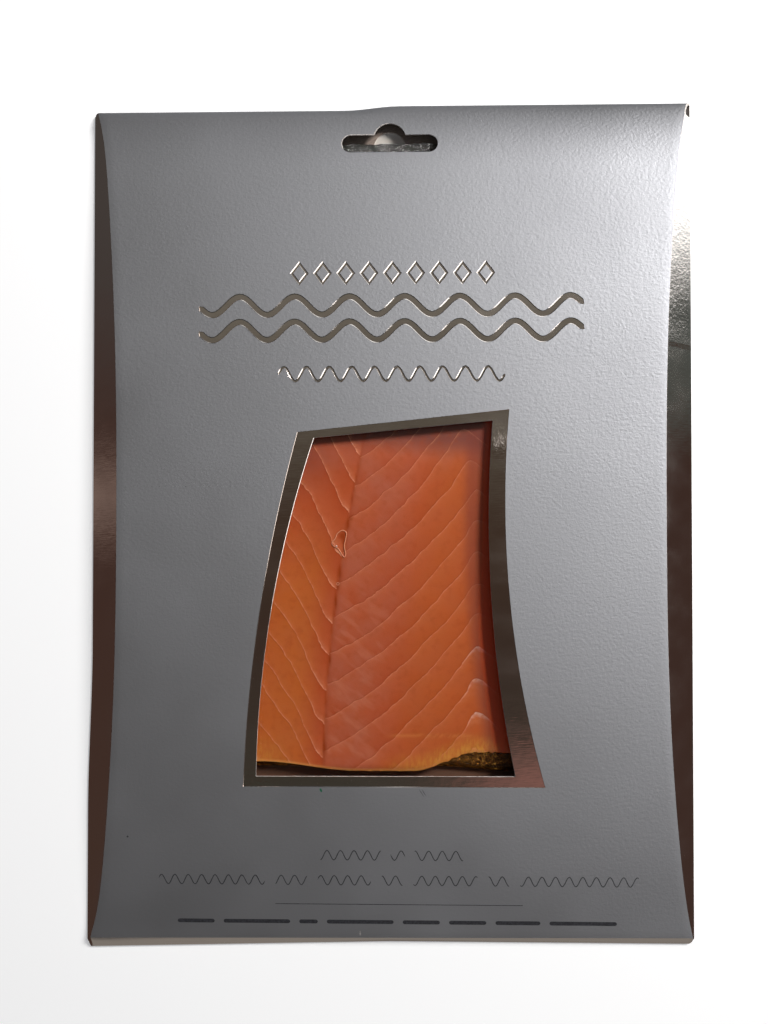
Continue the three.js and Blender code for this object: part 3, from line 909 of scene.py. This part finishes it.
VALLEY, VALLEY_HALF = 0.1, 1.6     # along the seam
SEAM = np.array([
    (-21.6, -84), (-21.0, -66), (-19.2, -42), (-16.6, -19), (-12.9, 2.5), (-8.0, 28.6), (2, 96)])
seam_curve = np.polyfit(SEAM[:, 1] / 100, SEAM[:, 0], 4)


def seam_x(y):
    return np.polyval(seam_curve, np.clip(y, -84, 96) / 100)


def fish_bottom(x):
    frayed = 0.45 * ripple(x, np.zeros_like(x), 1.3, 12.5) * smoothstep(x, 12, 20)
    return FISH_BOTTOM + LEFT_LIFT * smoothstep(-x, 10, 42) + RIGHT_LIFT * smoothstep(x, 8, 29) + frayed


def board_bottom(x):
    return BOARD_BOTTOM - BOARD_DROOP * smoothstep(x, 18, 41)


def fish_thickness(y):
    end = np.where(y > THICK_AT, FISH_TOP, FISH_BOTTOM)
    end_thick = np.where(y > THICK_AT, THICK_TOP, THICK_BOTTOM)
    return mix(THICK, end_thick, np.clip((y - THICK_AT) / (end - THICK_AT), 0, 1) ** 1.3)


def on_fish(x, y):
    """0 at the rim of the fish and 1 from the top of its shoulders on."""
    reach = np.minimum.reduce([
        (x - FISH_LEFT) / LEFT_ROUND, (FISH_RIGHT - x) / RIGHT_ROUND,
        (y - fish_bottom(x)) / LOW_ROUND, (FISH_TOP - y) / TOP_ROUND])
    return np.sqrt(1 - (1 - np.clip(reach, 0, 1)) ** 2)


def pouch_top(x, y):
    held_up = np.minimum(board_bottom(x), fish_bottom(x) - BOARD_RAMP)
    on_board = np.minimum.reduce([x - BOARD_LEFT, BOARD_RIGHT - x, y - held_up, BOARD_TOP - y])
    valley = VALLEY * np.maximum(0, 1 - np.abs(x - seam_x(y)) / VALLEY_HALF)
    return (POUCH_BASE + FILM + BOARD_THICK * smoothstep(on_board, 0, BOARD_RAMP)
            + on_fish(x, y) * (fish_thickness(y) - valley))


# %% [markdown]
# ### The fish
# The lines of fat are set by where each one starts on the seam. To the left they climb steeply away. To the
# right they climb in a slow curve up to a ridge, and there they hook back down.

# %% Flakes of the fish
LEFT_STARTS = [33, 22.6, 14.1, 4.3, -10.1, -21.8, -32.6, -43.1, -54.5, -66, -76.7, -85.6, -98.7, -111]
LEFT_OUT, LEFT_CLIMB = (0, 2.5, 10, 40), (0, 2.9, 19.2, 61)
RIGHT_STARTS = [55, 44, 33, 22.3, 12.9, 2.2, -8.8, -18.6, -29.7, -42.7, -51.9, -63.4, -74.1, -85,
                -95.5, -107, -118]
RIGHT_PEAKS = [88, 79, 70, 60, 51, 41, 31.5, 20.8, 11.5, 1.7, -9.1, -18.9, -28.5, -39.4,
               -49.9, -61.2, -72]
RIDGE_X = 29.0                     # where the right lines turn back
FALL = 0.95                        # their slope beyond the ridge
SLICE_STEP_Y = -68.8               # lower edge of the top slice, right of the seam


def flake_number(y, heights):
    """How many lines lie above a point, with its share of a flake. Heights go from the top down."""
    pairs = zip(heights[:-1], heights[1:])
    return sum(np.clip((above - y) / (above - below), 0, 1) for above, below in pairs)


def left_flakes(x, y):
    heights = [start + np.interp(seam_x(start) - x, LEFT_OUT, LEFT_CLIMB) for start in LEFT_STARTS]
    return flake_number(y + 0.5 * ripple(x, y, 7, 1.5), heights)


def right_flakes(x, y):
    heights = []
    for start, peak in zip(RIGHT_STARTS, RIGHT_PEAKS):
        ridge = RIDGE_X - 4.6 * smoothstep(peak, 11, 31)
        share = np.clip((x - seam_x(start)) / (ridge - seam_x(start)), 0, 1)
        climb = (peak - start) * (0.42 * share + 0.58 * share ** 1.75)
        gap = np.hypot(x - ridge, 1.6) - 1.6
        turn = smoothstep(x, ridge - 5, ridge)
        falling = peak - FALL * gap
        heights.append(mix(start + climb, falling, turn))
    return flake_number(y + 0.5 * ripple(x, y, 8, 4.5), heights)


# %% The fish itself
UNDER_FILM = 0.14                  # mm, how far below the film's face the meat lies


def stations(*runs):
    """Joins evenly spaced runs of (start, end, cells) into one list of places."""
    parts = [np.linspace(a, b, cells, endpoint=False) for a, b, cells in runs]
    return np.concatenate(parts + [[runs[-1][1]]])


fish_x = stations((0, 0.14, 8), (0.14, 0.88, 118), (0.88, 1, 8))
fish_y = stations((0, 0.04, 14), (0.04, 0.68, 132), (0.68, 1, 14))


def fish_upper(i, j):
    x = mix(FISH_LEFT, FISH_RIGHT, fish_x[i])
    y = mix(fish_bottom(x), FISH_TOP, fish_y[j])
    slice_step = 0.05 * (1 - smoothstep(y, SLICE_STEP_Y - 0.3, SLICE_STEP_Y + 0.3)) * smoothstep(x, 4, 12)
    swell = 0.12 * ripple(x, y, 16, 2.5)
    return x, y, pouch_top(x, y) - UNDER_FILM - (slice_step - swell) * on_fish(x, y)


def fish_lower(i, j):
    x, y, _ = fish_upper(i, j)
    return x, y, np.full(len(x), POUCH_BASE + FILM + BOARD_THICK - 0.15)


fish = closed_body("salmon_slices", len(fish_x) - 1, len(fish_y) - 1, fish_upper, fish_lower)


def carry(piece, name, values):
    attribute = piece.data.attributes.new(name, "FLOAT", "POINT")
    attribute.data.foreach_set("value", np.asarray(values, np.float32))


def spot(x, y, at, size):
    """1 at a place, fading to 0 at about twice its half sizes."""
    return np.exp(-((x - at[0]) / size[0]) ** 2 - ((y - at[1]) / size[1]) ** 2)


# Middle and half sizes, in mm
DARK_SPOTS = [((-12.3, 2.3), (0.75, 0.8)), ((-13.3, 0.2), (0.6, 1.4)), ((-14.75, -4.2), (0.55, 2.6)),
              ((-15.6, -3.4), (0.8, 1.2)), ((-16.7, -20.4), (0.3, 0.4)), ((-16.1, -15.5), (0.7, 2.2)),
              ((-17.3, -25.0), (0.5, 2.0)), ((-20.9, -73.0), (0.5, 2.0)), ((-19.2, -44.0), (0.4, 1.4))]

x, y, _ = places(fish)
offset = x - seam_x(y)
out = np.abs(offset)
left_side = offset < 0
hooked = np.exp(-((x - RIDGE_X - 0.3) / 4.2) ** 2) * smoothstep(-y, 28, 42) * smoothstep(y, -69, -63)
right_wall = window_edge[sum(SIDE_POINTS[:2]):sum(SIDE_POINTS[:3])].T
from_wall = np.interp(y, right_wall[1], right_wall[0]) - x
shade_reach = mix(2.6, 5.0, smoothstep(-y, -5, 45))
near_left_seam = 1 - smoothstep(out, 1, 8)
above_edge = y - fish_bottom(x)
seam_band = 0.3 * np.exp(-(out / 0.9) ** 2) + 0.45 * np.exp(-(out / 0.25) ** 2)
seam = seam_band * (0.7 + 0.6 * ripple(x, y, 4, 8.5)) + sum(0.75 * spot(x, y, *dark) for dark in DARK_SPOTS)
carry(fish, "from_seam", offset)
mean_stray = (DRIFT + WANDER) / 2
carry(fish, "left_flakes", left_flakes(x, y) - mean_stray)
carry(fish, "right_flakes", right_flakes(x, y) - mean_stray)
beside_wall = smoothstep(-from_wall, -9.5, -5.2)
board_shows_left = 0.6 * smoothstep(-x, 30, 44) * (1 - smoothstep(above_edge, 1, 12))
painted_step_highlight = 0.22 * np.exp(-((y - SLICE_STEP_Y) / 0.35) ** 2) * smoothstep(x, -2, 4)
shares = {
    # pale hooks where the right lines turn back, and how strong and how wide the lines of fat are
    "hook": hooked,
    "fat": np.where(left_side, 0.6 + 0.4 * near_left_seam,
                    0.34 + 0.16 * smoothstep(out, 6, 20) + 0.5 * hooked),
    "fat_width": np.where(left_side, 0.05 + 0.02 * near_left_seam, 0.035 + 0.12 * hooked),
    # golden and pinkish meat, and the shadow of the window's upper edge
    "warm": np.where(left_side, smoothstep(out, 0.5, 10) * smoothstep(-y, -12, 25),
                     0.5 * smoothstep(out, 16, 34)),
    "pink": np.maximum(0.2 + 0.5 * ~left_side * (1 - smoothstep(out, 8, 28)),
                       0.7 * smoothstep(y, 10, 28)),
    "shaded": (0.8 * smoothstep(y + 0.06 * x, 22, 30) * smoothstep(x, -30, -4)
               + 0.5 * spot(x, y, (-27, 23), (9, 9))),
    # milky right of the seam, and the dark seam itself
    "haze": (smoothstep(offset, -0.5, 2) * (1 - smoothstep(offset, 12, 24))
             * (0.1 + 0.22 * smoothstep(-y, 12, 40))),
    "seam": seam,
    # thin meat along the lower edge, and a painted highlight along the rim and the slice step
    "thin": (1 - smoothstep(above_edge, 0.5, 8)) * smoothstep(x, -8, 16) + board_shows_left,
    "rim": (0.9 * np.exp(-((above_edge - 0.7) / 0.45) ** 2) * (1 - smoothstep(x, 8, 16))
            + painted_step_highlight * (1 - smoothstep(x, 24, 30))),
    # painted shade beside the window's right wall: a purplish soft edge, then red in the full shadow
    "painted_penumbra": 0.55 * beside_wall * (1 - smoothstep(-from_wall, -shade_reach, 1.4 - shade_reach)),
    "painted_shadow_red": 0.85 * smoothstep(-from_wall, -shade_reach - 0.6, 2.2 - shade_reach),
}
for name, values in shares.items():
    carry(fish, name, np.clip(values, 0, 1))
fish.data.materials.append(salmon_meat)
smooth_by_angle(fish, 60)

# %% The gold board
BOARD_COLUMNS, BOARD_ROWS = 60, 80


def board_upper(i, j):
    x = mix(BOARD_LEFT, BOARD_RIGHT, i / BOARD_COLUMNS)
    y = mix(board_bottom(x), BOARD_TOP, j / BOARD_ROWS)
    return x, y, POUCH_BASE + FILM + BOARD_THICK - 0.12 + 0.05 * ripple(x, y, 6, 3.5)


def board_lower(i, j):
    x, y, _ = board_upper(i, j)
    return x, y, np.full(len(x), POUCH_BASE + 0.25)


gold_board = closed_body("gold_board", BOARD_COLUMNS, BOARD_ROWS, board_upper, board_lower)
apply_modifier(gold_board, "BEVEL", width=0.15 * MM, segments=2, limit_method="ANGLE",
               angle_limit=math.radians(50))
gold_board.data.materials.append(gold)
smooth_by_angle(gold_board, 30)

# %% [markdown]
# ### The film
# The film is tight over the fish and loose where it only lies on itself: it puckers along the lower edge of
# the board, and its limp top edge ruffles where it shows in the hang slot.

# %% The film itself
LIMP_FROM = 112                    # mm along the pack, where the limp top edge begins

film_x = stations((0, 0.26, 8), (0.26, 0.74, 100), (0.74, 1, 8))
film_y = stations((0, 0.17, 6), (0.17, 0.22, 22), (0.22, 0.65, 70), (0.65, 0.93, 14), (0.93, 1, 26))


def film_upper(i, j):
    x = mix(POUCH_LEFT, POUCH_RIGHT, film_x[i])
    ragged = 0.7 * ripple(x, x * 0, 5, 6.5) * (j == len(film_y) - 1)
    y = mix(POUCH_BOTTOM, POUCH_TOP, film_y[j]) + ragged
    margin = smoothstep(board_bottom(x) - y, -1.5, 1.5) * smoothstep(y, BOARD_BOTTOM - 7, BOARD_BOTTOM - 3)
    pucker = margin * (0.3 * ripple(x * 2.6, y * 0.7, 4, 7.5) + 0.18 * ripple(x, y, 1.6, 9.5))
    lip = smoothstep(y, LIMP_FROM, LIMP_FROM + 8)
    ruffle = lip * (0.5 + 0.55 * ripple(x, y * 0.6, 5, 5.5) + 0.4 * ripple(x, y, 2.0, 11.5))
    held = pouch_top(x, np.minimum(y, LIMP_FROM + 10))
    return x, y, held + np.maximum(pucker, -0.2) + np.maximum(ruffle, -0.3)


def film_lower(i, j):
    x, y, z = film_upper(i, j)
    return x, y, mix(POUCH_BASE, z - LIP_THICK, smoothstep(y, LIMP_FROM + 8, LIMP_FROM + 12))


film = closed_body("pouch_film", len(film_x) - 1, len(film_y) - 1, film_upper, film_lower)
film.data.materials.append(film_clear)
_, y, _ = places(film)
below_board = smoothstep(BOARD_BOTTOM - y, -1.5, 0.5) * smoothstep(y, BOARD_BOTTOM - 9, BOARD_BOTTOM - 5)
carry(film, "loose", np.clip(smoothstep(y, LIMP_FROM, LIMP_FROM + 6) + 0.25 * below_board, 0, 1))
smooth_by_angle(film, 60)

# %% [markdown]
# ### Trapped air
# A little air is left beside the seam: a small pocket, whose rim shows as a thin bright loop, and a ring no
# bigger than a pinhead. A drop of moisture in the pocket catches the light.

# %% Trapped air
# All in millimetres
POCKET = [(-15.1, -1.7), (-13.8, -2.4), (-13.95, -4.3), (-14.4, -6.2), (-14.3, -8.0), (-14.0, -9.5),
          (-14.5, -10.4), (-15.4, -9.2), (-16.5, -7.6), (-18.0, -6.8), (-18.5, -5.8), (-17.4, -4.3),
          (-16.7, -2.7)]
POCKET_RIM = 0.15
RING_AT, RING_RADIUS, RING_RIM = (-16.55, -19.16), 0.42, 0.11
DROP_AT, DROP_RADIUS = (-16.95, -6.8), 0.3

rim_film = new_material(
    "stretched_film_rim", roughness=0.2, ior=1.5, base_color="#F4A47C", alpha=0.8)[0]
drop_film = new_material("moisture", roughness=0.08, ior=1.33, base_color="#E8C8B8")[0]


def closed_curve(corners, per_side=6):
    """A smooth loop through the corners."""
    corners = np.array(corners, float)
    points = []
    for k in range(len(corners)):
        a, b, c, d = (corners[(k + step) % len(corners)] for step in (-1, 0, 1, 2))
        for t in np.arange(per_side) / per_side:
            points.append(0.5 * (2 * b + (c - a) * t + (2 * a - 5 * b + 4 * c - d) * t ** 2
                                 + (3 * b - a - 3 * c + d) * t ** 3))
    return np.array(points)


loop = closed_curve(POCKET)
left = across_path(loop, True)
turns = np.linspace(0, 2 * math.pi, 8, endpoint=False)
heights = pouch_top(loop[:, 0], loop[:, 1])
rim_sections = [[(px + ax * POCKET_RIM * math.cos(a), py + ay * POCKET_RIM * math.cos(a),
                  h + POCKET_RIM * 0.8 * math.sin(a)) for a in turns]
                for (px, py), (ax, ay), h in zip(loop, left, heights)]
pocket = loft("trapped_air", rim_sections, True)
pocket.data.materials.append(rim_film)


def on_film(at):
    return Vector((*at, float(pouch_top(np.array(at[0]), np.array(at[1]))))) * MM


deselect_all()
bpy.ops.mesh.primitive_torus_add(
    location=on_film(RING_AT), major_radius=RING_RADIUS * MM, minor_radius=RING_RIM * MM,
    major_segments=24, minor_segments=8)
ring = bpy.context.object
ring.data.materials.append(rim_film)
deselect_all()
bpy.ops.mesh.primitive_uv_sphere_add(
    location=on_film(DROP_AT), radius=DROP_RADIUS * MM, segments=16, ring_count=10)
drop = bpy.context.object
drop.data.materials.append(drop_film)
for piece in (ring, drop):
    select_only(piece)
    bpy.ops.object.transform_apply(location=True)
joined(pocket, ring, drop)
smooth_by_angle(pocket, 60)

# %% [markdown]
# ## Small marks
# The pack isn't spotless. A dark speck, two fine scratches, a green fleck of ink and two white nicks in the
# coating lie where they were left, and the die has pushed up a pale burr along the left of the hang slot.

# %% Small marks
# All in millimetres
SPECK, SPECK_RADIUS = (-85.2, -101.6), 0.33
SCRATCHES = [((9.9, -85.3), (11.5, -87.8)), ((10.7, -85.3), (12.2, -87.6))]
FLECK = ((-22.2, -85.2), (-21.6, -86.4))
NICKS = [((-9.4, -133.2), (-9.4, -135.1)), ((-61.9, -135.6), (-61.3, -135.7))]
FLECK_WIDTH, SCRATCH_WIDTH, NICK_WIDTH, BURR_HALF = 0.6, 0.14, 0.16, 0.17
BURR_FROM, BURR_TO = 24, -3        # points of the slot's outline: the bump's left half and the left end

fleck_ink = new_material("green_ink", roughness=0.4, base_color="#0E6A4C")[0]


def stroke(name, ends, width, material):
    start, end = np.array(ends, float)
    path = start + np.linspace(0, 1, 5)[:, None] * (end - start)
    piece = loft(name, along_front(path, width / 2, False, flat_mark), False)
    coat(piece, material)
    return piece


speck = [(SPECK[0] - SPECK_RADIUS, SPECK[1]), (SPECK[0] + SPECK_RADIUS, SPECK[1])]
strokes = [stroke("small_marks", speck, 2 * SPECK_RADIUS, ink),
           stroke("fleck", FLECK, FLECK_WIDTH, fleck_ink)]
strokes += [stroke("scratch", ends, SCRATCH_WIDTH, ink) for ends in SCRATCHES]
strokes += [stroke("nick", ends, NICK_WIDTH, cut_edge) for ends in NICKS]
left_of_slot = np.array(slot_outline(FRONT_SLOT_Y, FRONT_BUMP_Y)[BURR_FROM:BURR_TO])
ridge = [(-1, -0.2), (-0.6, 0.04), (0.6, 0.04), (1, -0.2)]
burr = loft("slot_burr", along_front(left_of_slot, BURR_HALF, False, ridge), False)
coat(burr, cut_edge)
small_marks = joined(*strokes, burr)
report(small_marks)

# %% [markdown]
# ## Riding
# Every piece rides on the pack's one body. The frame's own sleeve and pouch are hidden, so the sleeve's
# piece stands for the sleeve's solid, and the film with what it holds for the pouch's.

# %% Riding on the frame
for piece, slot_name in [
    (sleeve, "silver_card"), (window_frame, "mirror_foil"), (pressed_foil, "mirror_foil"),
    (printed, "printed_ink"), (small_marks, "printed_ink"), (film, "pouch_film"), (pocket, "pouch_film"),
    (fish, "salmon"), (gold_board, "gold_board"),
]:
    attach(piece, "root")
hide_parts("card_sleeve")
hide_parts("vacuum_pouch")

# %% [markdown]
# ## Floor and light
# A soft lamp at the upper right gives the shadows of the window's and the slot's edges, and a wider one
# beside it spreads the glow on the matt front. Foil shows what surrounds it, so the studio round the pack
# is dark and brownish overhead and low down, with a bright stretch low at the upper right. The floor is a
# pale light table, lit from below round the pack and painted darker under it as shade, and is kept out of
# the foil.

# %% The floor
HALF_WIDTH, HALF_LENGTH = 96, 135  # mm, the part of the table that doesn't glow and is painted darker as shade

deselect_all()
bpy.ops.mesh.primitive_plane_add(size=6, location=(0, 0, 0))
floor = bpy.context.object
floor.name = "floor"
paper, tree, shader = new_material(
    "pale_paper", roughness=0.9, base_color="#FCFCFC", emission_color="#FFFFFF")
floor.data.materials.append(paper)
past_edges = []
for at, half in zip(across_and_along(tree), (HALF_WIDTH, HALF_LENGTH)):
    distance = node(tree, "Math ABSOLUTE", [at])
    past_edges.append(node(tree, "Math SUBTRACT", [distance, half]))
past_edge = node(tree, "Math MAXIMUM", past_edges)
# Painted shade: the floor under the pack is darker, so what shows through the slots looks shadowed
painted_shade_under_pack = node(tree, "MapRange", [past_edge, -5, 0, 1.0, 0.0])
fill(tree, shader,
     base_color=node(tree, "Mix", {0: painted_shade_under_pack, 6: "#FCFCFC", 7: "#D6CFC6"}, **COLOURS),
     emission_strength=node(tree, "MapRange", [past_edge, 0, 1, 0.0, 0.35]))
floor.visible_glossy = False
print("floor", floor.dimensions[0], "m wide")

# %% The lamps
LAMP_COLOUR = (1.0, 0.985, 0.97)


def soft_lamp(name, towards, distance, size, energy):
    towards = Vector(towards).normalized()
    bpy.ops.object.light_add(type="AREA", location=towards * distance)
    lamp = bpy.context.object
    lamp.name = name
    lamp.rotation_euler = towards.to_track_quat("Z", "Y").to_euler()
    lamp.data.shape = "DISK"
    lamp.data.size = size
    lamp.data.energy = energy
    lamp.data.color = LAMP_COLOUR
    print(name, energy, "W")
    return lamp


soft_lamp("key_lamp", (4.25, 3.75, 3.8), 1.1, 0.32, 13.7)
side_lamp = soft_lamp("side_lamp", (5.0, 0.9, 4.0), 0.6, 0.6, 2.1)
side_lamp.visible_diffuse = False  # it only gives the card its glow

# %% The studio round the pack
PINK_PATCH, PATCH_WIDTH = (0.2, -0.47, 0.86), 0.15     # where a pink glow stands in the sky, and its radius

world = bpy.data.worlds.new("studio")
bpy.context.scene.world = world
world.use_nodes = True
tree = world.node_tree
tree.nodes.clear()
direction = node(tree, "TexCoord", out="Generated")
east, north, upward = (node(tree, "SeparateXYZ", [direction], axis) for axis in "XYZ")
northward = node(tree, "MapRange", [north, -0.5, 0.5])

overhead = node(tree, "ValToRGB", [northward], stops=[
    (0.0, "#46463F"), (0.3, "#453831"), (0.5, "#4A3C32"), (0.72, "#6E6A60"), (1.0, "#8C8880")])
east_low = node(tree, "ValToRGB", [northward], stops=[
    (0.0, "#4C3A34"), (0.58, "#4A3832"), (0.64, "#565A56"), (0.78, "#646A68"),
    (0.84, "#FFFFFF"), (1.0, "#FFFFFF")])
west_low = node(tree, "ValToRGB", [northward], stops=[
    (0.0, "#524038"), (0.46, "#4E3A34"), (0.53, "#8E7A72"), (0.6, "#4E3A34"),
    (0.8, "#524C4A"), (1.0, "#56524F")])

# %% The layers of the studio
towards_patch = Vector(PINK_PATCH).normalized()
patch = node(tree, "VectorMath DOT_PRODUCT", [direction, towards_patch], "Value")
patch = node(tree, "MapRange", [patch, math.cos(PATCH_WIDTH), math.cos(PATCH_WIDTH / 2)])
overhead = node(tree, "Mix", {0: patch, 6: overhead, 7: "#9A7068"}, **COLOURS)
eastward = node(tree, "MapRange", [east, -0.3, 0.2])
around = node(tree, "Mix", {0: eastward, 6: "#44464A", 7: "#66686C"}, **COLOURS)
sinking = node(tree, "MapRange", [upward, 0.72, 0.5])
tent = node(tree, "Mix", {0: sinking, 6: overhead, 7: around}, **COLOURS)

opening = node(tree, "Math POWER", [node(tree, "MapRange", [north, 0.27, 0.345]), 2.0])
east_low = node(tree, "Mix", {0: opening, 6: east_low, 7: (2.3, 2.4, 2.45, 1)}, **COLOURS)
low = node(tree, "Mix", {0: node(tree, "MapRange", [east, -0.2, 0.2]), 6: west_low, 7: east_low}, **COLOURS)
southmost = node(tree, "MapRange", [north, -0.75, -0.9])
low = node(tree, "Mix", {0: southmost, 6: low, 7: "#9A9690"}, **COLOURS)
near_horizon = node(tree, "MapRange", [upward, 0.25, 0.05])
mirrored = node(tree, "Mix", {0: near_horizon, 6: tent, 7: low}, **COLOURS)

in_foil = node(tree, "LightPath", out="Is Glossy Ray")
behind_pack = node(tree, "LightPath", out="Is Camera Ray")
seen = node(tree, "Mix", {0: in_foil, 6: "#6C6E72", 7: mirrored}, **COLOURS)
seen = node(tree, "Mix", {0: behind_pack, 6: seen, 7: "#FFFFFF"}, **COLOURS)
node(tree, "OutputWorld", {"Surface": node(tree, "Background", {"Color": seen, "Strength": 0.7})})
bpy.context.scene.view_settings.view_transform = "Standard"
print("studio", len(tree.nodes), "nodes")
